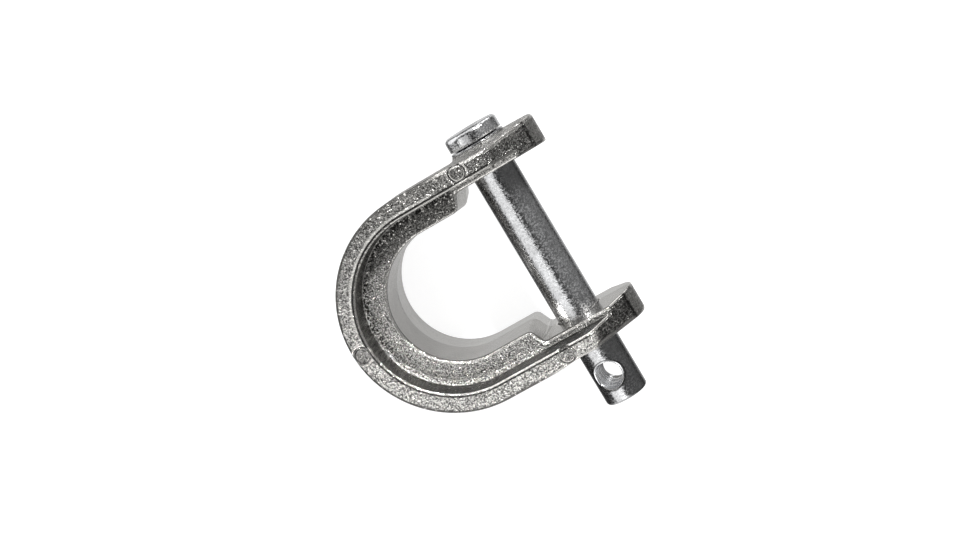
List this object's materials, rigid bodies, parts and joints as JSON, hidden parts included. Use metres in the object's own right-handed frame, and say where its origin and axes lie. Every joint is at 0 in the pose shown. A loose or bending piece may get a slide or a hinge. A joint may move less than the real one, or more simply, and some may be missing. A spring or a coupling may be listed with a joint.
{
  "type": "clevis shackle clip",
  "caption": "U-shaped cast shackle clip with a deep inner bearing pad and two ears, closed by a headed clevis pin with a cross-drilled end and a thin washer under its head.",
  "frame": {"origin": "middle of the box around the whole part, on the plane that the back face of the casting's rim lies on", "axes": "+X from the bend to the open ends of the ears, +Y along the clevis pin towards its head, +Z from the back face of the rim to its front face"},
  "size_m": [0.0734, 0.0876, 0.0418],
  "materials": {
    "cast_metal": "blasted die casting, satin in the bore and on the lands",
    "plated_steel": "bright zinc plate"
  },
  "bodies": {
    "body": {"clip_body": "cast_metal"},
    "washer": {"head_washer": "plated_steel"},
    "pin": {"clevis_pin": "plated_steel"}
  },
  "joints": [
    {"name": "washer_slide", "type": "slide", "parent": "body", "child": "washer", "axis": [0, 1, 0], "range_m": [0, 0.086]},
    {"name": "pin_turn", "type": "hinge", "parent": "washer", "child": "pin", "pos_m": [0.01997, 0.0398, 0.0209], "axis": [0, 1, 0], "continuous": true}
  ]
}
